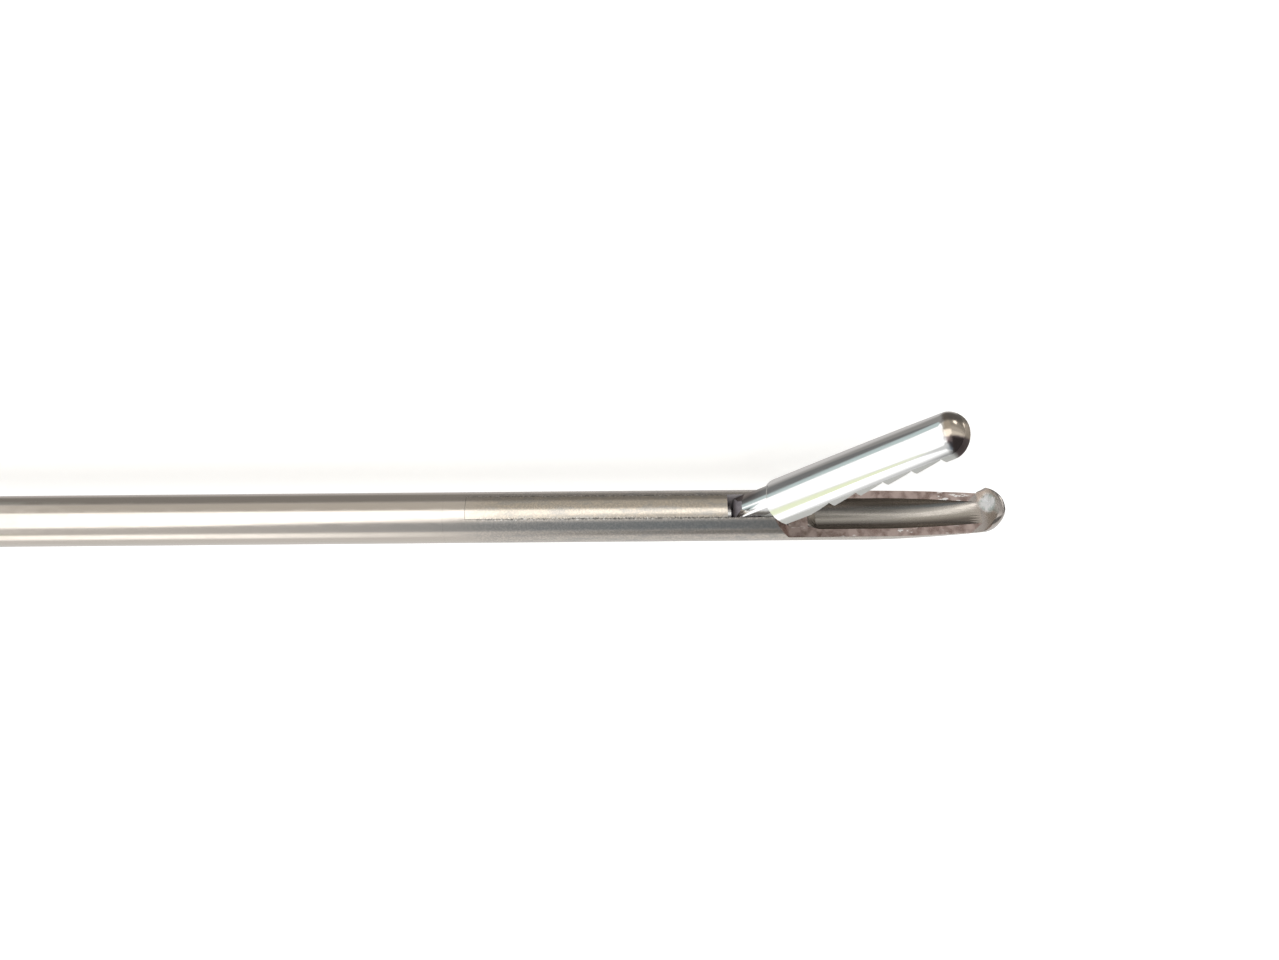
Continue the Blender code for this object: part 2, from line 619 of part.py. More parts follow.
def make_upper_jaw(look):
    """The toothed jaw, on its pivot and held open."""
    hole = drill_z(-TANG_HALF, TANG_HALF, PIVOT_HOLE_RADIUS, y=0.0, segments=PIN_SEGMENTS)
    jaw = join(jaw_body(), jaw_tang())
    cut(jaw, bite_groove(), hole)
    jaw.location = (PIVOT_X, JAW_PIVOT_HEIGHT, AXIS_Z)
    jaw.rotation_euler = (0.0, 0.0, JAW_OPENING)
    return finish(jaw, "upper_jaw", look)


def make_jaw_pivot_pin(look):
    flush = math.sqrt(SHAFT_RADIUS ** 2 - (JAW_PIVOT_HEIGHT + JAW_PIN_DIAMETER / 2) ** 2)
    radius = JAW_PIN_DIAMETER / 2
    stations = [(AXIS_Z - flush, radius), (AXIS_Z + JAW_PIN_BLIND_DEPTH - PIN_CLEARANCE, radius)]
    return finish(rod_along_z("pin", stations, PIVOT_X, JAW_PIVOT_HEIGHT), "jaw_pivot_pin", look)


def make_drive_rod(look):
    """The rod, its flat tab and the hole for the drive pin, at the forward end of its travel."""
    rear = HALF_STROKE
    front = PIVOT_X - TANG_REAR_RADIUS - ROD_TO_TANG_GAP
    rod = rod_along_x("rod", [(rear, ROD_RADIUS), (front, ROD_RADIUS)], segments=24)
    pin_x = PIVOT_X + HALF_STROKE
    low = DRIVE_PIN_Y - TAB_HALF_HEIGHT
    high = DRIVE_PIN_Y + TAB_HALF_HEIGHT
    root = front - WEB_LENGTH
    outline = [(root, -WEB_BOTTOM), (root + ROD_RADIUS, low), (pin_x, low)]
    outline += [(pin_x + x, DRIVE_PIN_Y + y) for x, y in arc(TAB_HALF_HEIGHT, -75.0, 75.0, 8)]
    outline += [(pin_x, high), (front + WEB_STEP, high), (front + WEB_TOE, WEB_TOP), (root, WEB_TOP)]
    tab = prism("tab", outline, AXIS_Z - TAB_THICKNESS / 2, AXIS_Z + TAB_THICKNESS / 2)
    hole = drill_z(AXIS_Z, AXIS_Z, (DRIVE_PIN_DIAMETER + PIN_CLEARANCE) / 2, pin_x, DRIVE_PIN_Y, PIN_SEGMENTS)
    return on_slide(finish(cut(join(rod, tab), hole), "drive_rod", look))


def make_drive_pin(look):
    half = TANG_HALF - PIN_CLEARANCE
    radius = DRIVE_PIN_DIAMETER / 2
    stations = [(AXIS_Z - half, radius), (AXIS_Z + half, radius)]
    pin = rod_along_z("pin", stations, PIVOT_X + HALF_STROKE, DRIVE_PIN_Y)
    return on_slide(finish(pin, "drive_pin", look))


def make_rod_barrel(look):
    """The cross barrel that the lever's fork pulls, screwed on the rod's rear end."""
    half = TONGUE_THICKNESS / 2 - RUNNING_GAP
    radius = BARREL_DIAMETER / 2
    barrel = rod_along_z("barrel", [(AXIS_Z - half, radius), (AXIS_Z + half, radius)], HALF_STROKE, 0.0, 28)
    seat = HALF_STROKE - SEAT_GAP
    hole = drill_x(seat + OVERCUT, HALF_STROKE + radius, ROD_RADIUS + SEAT_GAP)
    return on_slide(finish(cut(barrel, hole), "rod_barrel", look))


def ring_piece(name, rear, length, outer, inner, look):
    """A plain ring on the shaft's axis."""
    body = rod_along_x(name, [(rear, outer), (rear + length, outer)], segments=32)
    return finish(cut(body, drill_x(rear, rear + length, inner)), name, look)


def make_collar(look):
    """The ferrule in front of the head."""
    rear = HEAD_FRONT + SEAT_GAP
    outer, small = COLLAR_DIAMETER / 2, COLLAR_FRONT_DIAMETER / 2
    front = rear + COLLAR_LENGTH
    stations = [(rear, outer - COLLAR_CHAMFER), (rear + COLLAR_CHAMFER, outer), (rear + COLLAR_FLAT, outer),
                (front - COLLAR_CHAMFER, small), (front, small - COLLAR_CHAMFER)]
    collar = rod_along_x("collar", stations)
    hole = drill_x(rear, front, SHAFT_BORE_RADIUS, SHAFT_SEGMENTS)
    return finish(cut(collar, hole), "shaft_collar", look)


def make_set_screw(look):
    """A socket set screw that bears on the shaft from above."""
    low = SHAFT_RADIUS + SEAT_GAP
    high = HEAD_TOP - SET_SCREW_SUNK
    radius = SET_SCREW_DIAMETER / 2
    stations = [(low, radius - SET_SCREW_CONE), (low + SET_SCREW_CONE, radius), (high, radius)]
    screw = rod_along_y("screw", stations, SET_SCREW_X)
    socket_radius = HEX_SOCKET_WIDTH / math.sqrt(3)
    depths = [(high - HEX_SOCKET_DEPTH, socket_radius), (high + OVERCUT, socket_radius)]
    socket = rod_along_y("socket", depths, SET_SCREW_X, segments=6)
    return finish(cut(screw, socket), "shaft_set_screw", look)


def shank_section(point, direction, width):
    """A rounded rectangle across a shank, from the table up to the handle's full thickness."""
    half, high = width / 2, HANDLE_THICKNESS / 2
    corners = [(-half, -high), (half, -high), (half, high), (-half, high)]
    across = (-direction[1], direction[0])
    return [(point[0] + s * across[0], point[1] + s * across[1], AXIS_Z + t)
            for s, t in rounded(corners, SHANK_CORNER, 3)]


def shank(name, start, bow, end):
    """A tapering bar along a bowed line."""
    rings = []
    steps = 10
    for step in range(steps + 1):
        t = step / steps
        point = [(1 - t) ** 2 * start[k] + 2 * t * (1 - t) * bow[k] + t * t * end[k] for k in (0, 1)]
        slope = [2 * (1 - t) * (bow[k] - start[k]) + 2 * t * (end[k] - bow[k]) for k in (0, 1)]
        length = math.hypot(*slope)
        width = SHANK_WIDTH + (SHANK_END_WIDTH - SHANK_WIDTH) * t
        rings.append(shank_section(point, (slope[0] / length, slope[1] / length), width))
    return loft(name, rings)


def finger_loop(name, centre, tilt):
    """An oval ring of rounded rectangular stock."""
    rings = []
    half_width = RING_HALF_WIDTH
    half_height = RING_HALF_HEIGHT
    for step in range(RING_STEPS):
        turn = 2 * math.pi * step / RING_STEPS
        point = (centre[0] + half_width * math.cos(turn), centre[1] + half_height * math.sin(turn))
        slope = (-half_width * math.sin(turn), half_height * math.cos(turn))
        length = math.hypot(*slope)
        point, = turned_about([point], centre, tilt)
        direction, = turned_about([(slope[0] / length, slope[1] / length)], (0.0, 0.0), tilt)
        rings.append(shank_section(point, direction, RING_STOCK))
    return loft(name, rings, closed=True)


def ring_top(centre, tilt):
    """Where a shank meets its ring: the top of the ring's middle line."""
    point, = turned_about([(centre[0], centre[1] + RING_HALF_HEIGHT)], centre, tilt)
    return point


def head_block():
    corners = [(HEAD_REAR, HEAD_BOTTOM), (HEAD_REAR + HEAD_CORNER, HEAD_TOP),
               (HEAD_FRONT, HEAD_TOP - HEAD_CORNER / 2), (HEAD_FRONT, -HEAD_TOP + HEAD_CORNER),
               (HEAD_FRONT - HEAD_CORNER / 4, HEAD_BOTTOM)]
    return soften(prism("head", rounded(corners, HEAD_CORNER, 4), 0.0, HANDLE_THICKNESS))


def make_fixed_handle(look):
    """Slotted head, shank and finger ring in one piece."""
    end = ring_top(FINGER_RING_CENTRE, RING_TILT)
    body = join(head_block(), shank("shank", FINGER_SHANK_START, FINGER_SHANK_BOW, end),
                finger_loop("loop", FINGER_RING_CENTRE, RING_TILT))
    half = LEVER_SLOT_WIDTH / 2
    far = 3 * HANDLE_THICKNESS
    back = HEAD_REAR - OVERCUT
    bottom = HEAD_BOTTOM - far
    slot = [(back, bottom), (FINGER_SHANK_START[0] - SHANK_WIDTH, bottom),
            (LEVER_SLOT_FRONT, LEVER_PIVOT_Y - LEVER_HUB_RADIUS), (LEVER_SLOT_FRONT, HEAD_TOP + OVERCUT),
            (back, HEAD_TOP + OVERCUT)]
    lever_slot = prism("lever_slot", slot, AXIS_Z - half, AXIS_Z + half)
    bore = drill_x(LEVER_SLOT_FRONT, HEAD_FRONT, SHAFT_BORE_RADIUS, SHAFT_SEGMENTS)
    screw_radius = SET_SCREW_DIAMETER / 2 + PIN_CLEARANCE
    depths = [(0.0, screw_radius), (HEAD_TOP + OVERCUT, screw_radius)]
    screw_hole = rod_along_y("screw_hole", depths, SET_SCREW_X)
    recess_radius = SCREW_HEAD_DIAMETER / 2 + SEAT_GAP
    recess = SCREW_HEAD_HEIGHT + SCREW_RECESS_MARGIN + SEAT_GAP
    pivot_hole = drill_z(0.0, HANDLE_THICKNESS, PIVOT_SCREW_DIAMETER / 2 + SEAT_GAP)
    under = drill_z(0.0, recess - OVERCUT, recess_radius)
    over = drill_z(HANDLE_THICKNESS - recess + OVERCUT, HANDLE_THICKNESS, recess_radius)
    cut(body, lever_slot, bore, screw_hole, pivot_hole, under, over)
    return finish(body, "fixed_handle", look)


def lever_tongue():
    """The lever's flat tongue: a fork for the barrel above the pivot and a neck below it."""
    inner = BARREL_DIAMETER / 2 + SEAT_GAP
    outer = inner + LEVER_PRONG
    top = LEVER_ARM + LEVER_PRONG_HEIGHT
    seat = LEVER_ARM - BARREL_DIAMETER / 2 - LEVER_SEAT_GAP
    neck = THUMB_SHANK_START[1] - LEVER_PIVOT_Y - 2 * OVERCUT
    neck_half = LEVER_NECK_WIDTH / 2
    outline = [(-outer, top), (-inner, top), (-inner, seat), (inner, seat), (inner, top), (outer, top)]
    outline += arc(LEVER_HUB_RADIUS, 30.0, -10.0, 6)
    outline += [(neck_half, neck), (-neck_half, neck)]
    outline += arc(LEVER_HUB_RADIUS, 190.0, 150.0, 6)
    placed = [(x, LEVER_PIVOT_Y + y) for x, y in outline]
    placed = turned_about(placed, (0.0, LEVER_PIVOT_Y), -LEVER_LEAN)
    half = TONGUE_THICKNESS / 2
    tongue = prism("tongue", placed, AXIS_Z - half, AXIS_Z + half)
    rod_pass = [(HALF_STROKE, -ROD_DIAMETER), (LEVER_SLOT_FRONT + OVERCUT, -ROD_DIAMETER),
                (LEVER_SLOT_FRONT + OVERCUT, HEAD_TOP), (HALF_STROKE, HEAD_TOP)]
    return cut(tongue, prism("rod_pass", rod_pass, AXIS_Z - ROD_BORE_RADIUS, AXIS_Z + ROD_BORE_RADIUS))


def make_thumb_handle(look):
    """Lever tongue, shank and thumb ring in one piece, on the handle's pivot."""
    end = ring_top(THUMB_RING_CENTRE, -RING_TILT)
    body = join(shank("shank", THUMB_SHANK_START, THUMB_SHANK_BOW, end),
                finger_loop("loop", THUMB_RING_CENTRE, -RING_TILT), lever_tongue())
    cut(body, drill_z(0.0, HANDLE_THICKNESS, PIVOT_SCREW_DIAMETER / 2 + SEAT_GAP))
    return hang_on(finish(body, "thumb_handle", look), 0.0, LEVER_PIVOT_Y)


def make_washer(name, low, look):
    washer = rod_along_z(name, [(low, WASHER_DIAMETER / 2), (low + WASHER_THICKNESS, WASHER_DIAMETER / 2)],
                         0.0, LEVER_PIVOT_Y, 32)
    hole = drill_z(low, low + WASHER_THICKNESS, PIVOT_SCREW_DIAMETER / 2 + SEAT_GAP)
    return finish(cut(washer, hole), name, look)


def driver_slot(level, direction):
    """A screwdriver slot across the pivot, sunk from a level."""
    half, reach = SCREW_SLOT_WIDTH / 2, SCREW_HEAD_DIAMETER
    outline = [(-reach, LEVER_PIVOT_Y - half), (reach, LEVER_PIVOT_Y - half),
               (reach, LEVER_PIVOT_Y + half), (-reach, LEVER_PIVOT_Y + half)]
    ends = sorted((level - direction * SCREW_SLOT_DEPTH, level + direction * OVERCUT))
    return prism("driver_slot", outline, *ends)


def make_pivot_screw(look):
    """The slotted screw on which the lever turns."""
    top = HANDLE_THICKNESS - SCREW_RECESS_MARGIN
    shoulder = top - SCREW_HEAD_HEIGHT
    bottom = 2 * SCREW_RECESS_MARGIN
    radius, head = PIVOT_SCREW_DIAMETER / 2, SCREW_HEAD_DIAMETER / 2
    stations = [(bottom, radius), (shoulder, radius), (shoulder, head), (top - SCREW_CHAMFER, head),
                (top, head - SCREW_CHAMFER)]
    screw = rod_along_z("screw", stations, 0.0, LEVER_PIVOT_Y, 28)
    return finish(cut(screw, driver_slot(top, 1)), "handle_pivot_screw", look)


def make_pivot_nut(look):
    low = SCREW_RECESS_MARGIN
    radius = SCREW_HEAD_DIAMETER / 2
    stations = [(low, radius - SCREW_CHAMFER), (low + SCREW_CHAMFER, radius),
                (low + SCREW_HEAD_HEIGHT, radius)]
    nut = rod_along_z("nut", stations, 0.0, LEVER_PIVOT_Y, 28)
    hole = drill_z(low, low + SCREW_HEAD_HEIGHT, PIVOT_SCREW_DIAMETER / 2 + PIN_CLEARANCE)
    return finish(cut(nut, hole), "pivot_nut", look)


def build():
    clear_scene()
    steel = material("shaft_steel", (0.55, 0.54, 0.52), 0.25, 1.0)
    cover = material("cover_steel", (0.50, 0.45, 0.38), 0.35, 1.0)
    polished = material("jaw_steel", (0.70, 0.71, 0.72), 0.15, 1.0)
    pin_steel = material("pin_steel", (0.60, 0.60, 0.60), 0.30, 1.0)
    satin = material("handle_steel", (0.58, 0.58, 0.58), 0.38, 1.0)
    bronze = material("bush_bronze", (0.55, 0.38, 0.18), 0.40, 1.0)
    rubber = material("seal_rubber", (0.03, 0.03, 0.03), 0.80, 0.0)
    make_shaft(steel)
    make_lower_jaw(steel)
    make_slot_cover(cover)
    make_upper_jaw(polished)
    make_jaw_pivot_pin(pin_steel)
    make_drive_rod(pin_steel)
    make_drive_pin(pin_steel)
    make_rod_barrel(pin_steel)
    ring_piece("rod_guide_bush", BUSH_REAR, BUSH_LENGTH, SHAFT_RADIUS, ROD_RADIUS + BUSH_CLEARANCE, bronze)
    ring_piece("rod_seal_ring", SEAL_REAR, SEAL_LENGTH, SHAFT_RADIUS, ROD_RADIUS + BUSH_CLEARANCE, rubber)
    make_collar(satin)
    make_set_screw(pin_steel)
    make_fixed_handle(satin)
    make_thumb_handle(satin)
    tongue_half = TONGUE_THICKNESS / 2 + RUNNING_GAP
    make_washer("lever_washer_upper", AXIS_Z + tongue_half, bronze)
    make_washer("lever_washer_lower", AXIS_Z - tongue_half - WASHER_THICKNESS, bronze)
    make_pivot_screw(pin_steel)
    make_pivot_nut(pin_steel)


build()
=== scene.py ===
import math

import bpy
from mathutils import Matrix, Vector

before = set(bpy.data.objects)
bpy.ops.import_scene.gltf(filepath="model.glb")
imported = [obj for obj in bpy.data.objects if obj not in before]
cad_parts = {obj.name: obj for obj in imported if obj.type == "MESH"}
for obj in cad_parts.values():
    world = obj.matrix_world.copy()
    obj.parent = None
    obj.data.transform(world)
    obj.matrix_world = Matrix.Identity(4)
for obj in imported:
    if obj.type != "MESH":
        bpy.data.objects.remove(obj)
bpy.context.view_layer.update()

MM = 0.001

# Places on the part, in the row frame
SHAFT_AXIS_Z = 3.5 * MM
SHAFT_RADIUS = 1.75 * MM
JAW_PIVOT_X = 126.8 * MM
JAW_PIVOT_Y = 0.26 * MM
JAW_OPENING = math.radians(44.6)
COVER_REAR_X = 107.6 * MM
COVER_HALF_WIDTH = 0.84 * MM
RIM_LEVEL = 0.15 * MM
CHANNEL_START_X = JAW_PIVOT_X + 3.8 * MM
LIP_START_X = JAW_PIVOT_X + 15.4 * MM
# A highlight painted in the lip's pocket: its middle and its size
HIGHLIGHT_SPOT = (JAW_PIVOT_X + 16.35 * MM, JAW_PIVOT_Y + 0.05 * MM, SHAFT_AXIS_Z - 0.62 * MM)
HIGHLIGHT_RADIUS = 0.62 * MM
HEEL_END_X = JAW_PIVOT_X - 0.45 * MM
ROD_TAB_START_X = JAW_PIVOT_X - 5.0 * MM

# Lengths ahead of the jaw's pivot, on the lower jaw
STEP_START = 0.8 * MM
RIM_START = 2.0 * MM
DRAWN_LENGTH = 14 * MM

# Along the upper jaw from the pivot, and outward from its axis
NOSE_START = 15.5 * MM
TOOTH_WALL_TOP = 0.46 * MM

# Smoothing of the CAD nodes
SHARP_ANGLE = math.radians(32.0)
WELD_DISTANCE = 0.0005 * MM

# Camera: how it looks at the open jaws
PIXEL = 3.5 * MM / 51
CAMERA_DISTANCE = 1000 * PIXEL
VIEW_TURN = math.radians(63.3)
VIEW_ROLL = math.radians(0.48)
JAW_PIVOT_COLUMN = 750
IMAGE_WIDTH = 1279
CENTRE_COLUMN = 640
CENTRE_RAISED = 36.2 * PIXEL
SENSOR_WIDTH = 36.0

# Colours of the metal, among them painted reflections and painted shade; the near side is the one towards +Z,
# which faces up from the table
DRAWN_COLOUR = (0.63, 0.575, 0.515)
TINTED_COLOUR = (0.60, 0.53, 0.44)
POLISH_COLOUR = (0.82, 0.82, 0.81)
TOOTH_WALL_COLOUR = (0.70, 0.70, 0.67)
# Painted reflection on the ball nose: its bronze, and darker painted bands on its far and near sides
NOSE_REFLECTION_COLOUR = (0.52, 0.45, 0.37)
NOSE_FAR_SHADE_COLOUR = (0.32, 0.28, 0.24)
NOSE_NEAR_SHADE_COLOUR = (0.17, 0.135, 0.13)
# Painted shade on the tang's far side
TANG_SHADE_COLOUR = (0.20, 0.165, 0.15)
CHANNEL_COLOUR = (0.45, 0.415, 0.37)
# Painted shade on the channel's near side
CHANNEL_NEAR_SHADE_COLOUR = (0.21, 0.185, 0.165)
RIM_COLOUR = (0.46, 0.35, 0.315)
LIP_COLOUR = (0.52, 0.47, 0.43)

# Light and floor
PLAIN_LIGHT = 0.85
FLOOR_COLOUR = (0.93, 0.925, 0.91)
FLOOR_GLOW_COLOUR = (1.0, 0.995, 0.97)
FLOOR_GLOW = 0.45
FLOOR_SIZE = 30.0

# Two small lamps that the ball nose mirrors: their place to the right, and the turn upward from the camera
SMALL_LAMPS = ((0.50, math.radians(74.0)), (0.87, math.radians(112.0)))
SMALL_LAMP_ANGLE = math.radians(9.0)
SMALL_LAMP_LEVEL = 3.0

ACROSS = Vector((1.0, 0.0, 0.0))
IMAGE_UP = Vector((0.0, math.cos(VIEW_TURN), -math.sin(VIEW_TURN)))
TO_CAMERA = Vector((0.0, math.sin(VIEW_TURN), math.cos(VIEW_TURN)))
ALONG_JAW = Vector((math.cos(JAW_OPENING), math.sin(JAW_OPENING), 0.0))
JAW_OUTWARD = Vector((-math.sin(JAW_OPENING), math.cos(JAW_OPENING), 0.0))
JAW_PIVOT = Vector((JAW_PIVOT_X, JAW_PIVOT_Y, SHAFT_AXIS_Z))


class Nodes:
    """Short ways to add and join shader nodes."""

    def __init__(self, tree):
        self.tree = tree

    def add(self, kind, **settings):
        made = self.tree.nodes.new(kind)
        for name, value in settings.items():
            setattr(made, name, value)
        return made

    def feed(self, socket, value):
        if isinstance(value, bpy.types.NodeSocket):
            self.tree.links.new(value, socket)
        else:
            socket.default_value = value

    def maths(self, operation, first, second=0.0):
        made = self.add("ShaderNodeMath", operation=operation)
        self.feed(made.inputs[0], first)
        self.feed(made.inputs[1], second)
        return made.outputs[0]

    def dot(self, vector, direction):
        made = self.add("ShaderNodeVectorMath", operation="DOT_PRODUCT")
        self.feed(made.inputs[0], vector)
        made.inputs[1].default_value = direction
        return made.outputs["Value"]

    def ramp(self, value, low, high, start=0.0, end=1.0):
        """A soft change from start to end while value goes from low to high."""
        made = self.add("ShaderNodeMapRange", interpolation_type="SMOOTHSTEP")
        self.feed(made.inputs["Value"], value)
        self.feed(made.inputs["From Min"], low)
        self.feed(made.inputs["From Max"], high)
        self.feed(made.inputs["To Min"], start)
        self.feed(made.inputs["To Max"], end)
        return made.outputs["Result"]

    def mix(self, factor, first, second):
        made = self.add("ShaderNodeMix", data_type="RGBA")
        self.feed(made.inputs["Factor"], factor)
        self.feed(made.inputs[6], first)
        self.feed(made.inputs[7], second)
        return made.outputs[2]

    def noise(self, vector, scale, detail=3.0, roughness=0.5):
        made = self.add("ShaderNodeTexNoise")
        self.feed(made.inputs["Vector"], vector)
        made.inputs["Scale"].default_value = scale
        made.inputs["Detail"].default_value = detail
        made.inputs["Roughness"].default_value = roughness
        return made.outputs[0]

    def stretched(self, scale):
        """Object coordinates with each axis scaled by its own factor."""
        place = self.add("ShaderNodeTexCoord")
        made = self.add("ShaderNodeMapping")
        self.feed(made.inputs["Vector"], place.outputs["Object"])
        made.inputs["Scale"].default_value = scale
        return made.outputs["Vector"]

    def bump(self, height, strength, distance):
        made = self.add("ShaderNodeBump")
        made.inputs["Strength"].default_value = strength
        made.inputs["Distance"].default_value = distance
        self.feed(made.inputs["Height"], height)
        return made.outputs["Normal"]


def grey(level):
    return (level, level, level, 1.0)


def opaque(colour):
    return (*colour, 1.0)


def material(name, colour, roughness, metallic=1.0):
    """A Principled material and the helper for its nodes."""
    made = bpy.data.materials.new(name)
    made.use_nodes = True
    shader = made.node_tree.nodes["Principled BSDF"]
    shader.inputs["Base Color"].default_value = opaque(colour)
    shader.inputs["Roughness"].default_value = roughness
    shader.inputs["Metallic"].default_value = metallic
    return made, shader, Nodes(made.node_tree)


def between_edges(nodes, value, low, high, soft):
    """1 where value lies between low and high, with soft ends."""
    rise = nodes.ramp(value, low - soft, low + soft)
    fall = nodes.ramp(value, high - soft, high + soft)
    return nodes.maths("SUBTRACT", rise, fall)


def along_shaft(nodes):
    """The place along the shaft, and how far it lies to the side of the shaft's axis."""
    place = nodes.add("ShaderNodeTexCoord").outputs["Object"]
    parts = nodes.add("ShaderNodeSeparateXYZ")
    nodes.feed(parts.inputs[0], place)
    aside = nodes.maths("ABSOLUTE", nodes.maths("SUBTRACT", parts.outputs["Z"], SHAFT_AXIS_Z))
    return place, parts.outputs["X"], aside


def across_shaft(nodes, place):
    """How far the place lies from the shaft's axis towards the near side."""
    return nodes.maths("SUBTRACT", nodes.dot(place, (0.0, 0.0, 1.0)), SHAFT_AXIS_Z)


def drawn_steel(name, start_colour, end_colour):
    """Drawn stainless with fine lines along it.

    Beside the slot it is tarnished and speckled, and braze shows along the slot cover's two joints.
    """
    made, shader, nodes = material(name, start_colour, 0.16)
    place, x, aside = along_shaft(nodes)
    heated = nodes.ramp(x, COVER_REAR_X - 1.5 * MM, COVER_REAR_X + 3.0 * MM)
    joint = between_edges(nodes, aside, COVER_HALF_WIDTH - 0.07 * MM, COVER_HALF_WIDTH + 0.07 * MM, 0.05 * MM)
    joint = nodes.maths("MULTIPLY", joint, heated)
    specks = nodes.noise(place, 7000.0, 3.0, 0.7)
    clouds = nodes.noise(nodes.stretched((700.0, 2500.0, 2500.0)), 1.0, 4.0, 0.6)
    colour = nodes.mix(heated, opaque(start_colour), opaque(end_colour))
    worn = nodes.maths("MULTIPLY", heated, nodes.ramp(clouds, 0.48, 0.66, 0.0, 0.45))
    colour = nodes.mix(worn, colour, (0.42, 0.42, 0.41, 1.0))
    speckle = nodes.maths("MULTIPLY", heated, nodes.ramp(specks, 0.46, 0.58, 0.35, 0.0))
    colour = nodes.mix(speckle, colour, (0.36, 0.35, 0.33, 1.0))
    dark = nodes.maths("MULTIPLY", joint, nodes.ramp(specks, 0.40, 0.50, 0.9, 0.0))
    colour = nodes.mix(dark, colour, (0.22, 0.21, 0.19, 1.0))
    bright = nodes.maths("MULTIPLY", joint, nodes.ramp(specks, 0.56, 0.64, 0.0, 0.9))
    colour = nodes.mix(bright, colour, (0.95, 0.93, 0.89, 1.0))
    nodes.feed(shader.inputs["Base Color"], colour)
    rough = nodes.ramp(clouds, 0.3, 0.7, 0.12, 0.22)
    nodes.feed(shader.inputs["Roughness"], nodes.maths("ADD", rough, nodes.maths("MULTIPLY", heated, 0.05)))
    lines = nodes.noise(nodes.stretched((60.0, 4000.0, 4000.0)), 1.0, 4.0, 0.6)
    coarse = nodes.ramp(x, COVER_REAR_X - 12 * MM, COVER_REAR_X + 6 * MM, 0.3, 1.0)
    grain = nodes.maths("MULTIPLY", specks, coarse)
    nodes.feed(shader.inputs["Normal"], nodes.bump(nodes.maths("ADD", lines, grain), 0.14, 0.01 * MM))
    return made


def polished_steel():
    """The upper jaw: a bright polish, a painted bronze reflection on the ball nose, painted brown shade on
    the tang and matt on the teeth.
    """
    made, shader, nodes = material("polished_steel", POLISH_COLOUR, 0.09)
    place = nodes.add("ShaderNodeTexCoord").outputs["Object"]
    smears = nodes.noise(place, 900.0, 3.0)
    along = nodes.maths("SUBTRACT", nodes.dot(place, ALONG_JAW), JAW_PIVOT.dot(ALONG_JAW))
    outward = nodes.maths("SUBTRACT", nodes.dot(place, JAW_OUTWARD), JAW_PIVOT.dot(JAW_OUTWARD))
    edge = nodes.ramp(smears, 0.3, 0.7, -0.12 * MM, 0.12 * MM)
    nose = nodes.ramp(nodes.maths("ADD", along, edge), NOSE_START - 0.15 * MM, NOSE_START + 0.15 * MM)
    wall = nodes.ramp(outward, TOOTH_WALL_TOP - 0.04 * MM, TOOTH_WALL_TOP + 0.04 * MM, 1.0, 0.0)
    colour = nodes.mix(wall, opaque(POLISH_COLOUR), opaque(TOOTH_WALL_COLOUR))
    across = across_shaft(nodes, place)
    blurred = nodes.maths("ADD", across, edge)
    # Painted reflection on the ball nose: bronze, darkened towards its far and near sides by painted dark
    # bands
    far_painted_shade = nodes.ramp(blurred, -0.55 * MM, -0.15 * MM, 1.0, 0.0)
    near_painted_shade = nodes.ramp(blurred, 0.62 * MM, 0.80 * MM)
    bronze = nodes.mix(far_painted_shade, opaque(NOSE_REFLECTION_COLOUR), opaque(NOSE_FAR_SHADE_COLOUR))
    bronze = nodes.mix(near_painted_shade, bronze, opaque(NOSE_NEAR_SHADE_COLOUR))
    colour = nodes.mix(nose, colour, bronze)
    # Painted shade: the tang's far side, behind the jaw's body, is painted dark brown
    behind = nodes.ramp(along, 1.0 * MM, 2.8 * MM, 1.0, 0.0)
    far_side = nodes.ramp(across, -0.55 * MM, 0.25 * MM, 0.9, 0.0)
    colour = nodes.mix(nodes.maths("MULTIPLY", behind, far_side), colour, opaque(TANG_SHADE_COLOUR))
    nodes.feed(shader.inputs["Base Color"], colour)
    rough = nodes.ramp(smears, 0.3, 0.7, 0.06, 0.14)
    rough = nodes.maths("MAXIMUM", rough, nodes.maths("MULTIPLY", wall, 0.55))
    nodes.feed(shader.inputs["Roughness"], nodes.maths("MAXIMUM", rough, nodes.maths("MULTIPLY", nose, 0.16)))
    grain = nodes.noise(place, 8000.0, 3.0, 0.6)
    nodes.feed(shader.inputs["Normal"], nodes.bump(grain, 0.06, 0.01 * MM))
    return made


def rim_steel():
    """The lower jaw's flat rims: pinkish brown, rough, with bright specks painted on as glints where the
    cutter broke the edge.
    """
    made, shader, nodes = material("rim_steel", RIM_COLOUR, 0.34)
    place = nodes.add("ShaderNodeTexCoord").outputs["Object"]
    blotches = nodes.noise(place, 1800.0, 4.0, 0.6)
    specks = nodes.noise(nodes.stretched((1500.0, 4500.0, 4500.0)), 1.0, 3.0, 0.6)
    clusters = nodes.noise(place, 380.0, 2.0)
    shade = nodes.mix(nodes.ramp(blotches, 0.38, 0.62), (0.34, 0.25, 0.22, 1.0), (0.54, 0.43, 0.39, 1.0))
    # Painted glints: clusters of near-white specks on the rims, where the cutter broke the edge
    bright = nodes.maths("MULTIPLY", nodes.ramp(specks, 0.58, 0.64), nodes.ramp(clusters, 0.50, 0.60))
    nodes.feed(shader.inputs["Base Color"], nodes.mix(bright, shade, (1.0, 0.97, 0.94, 1.0)))
    nodes.feed(shader.inputs["Roughness"], nodes.ramp(blotches, 0.3, 0.7, 0.26, 0.42))
    nodes.feed(shader.inputs["Normal"], nodes.bump(blotches, 0.25, 0.02 * MM))
    return made


def cutter_marks(nodes):
    """Faint marks along the shaft, as a cutter leaves them."""
    return nodes.noise(nodes.stretched((330.0, 4000.0, 4000.0)), 1.0, 4.0, 0.6)


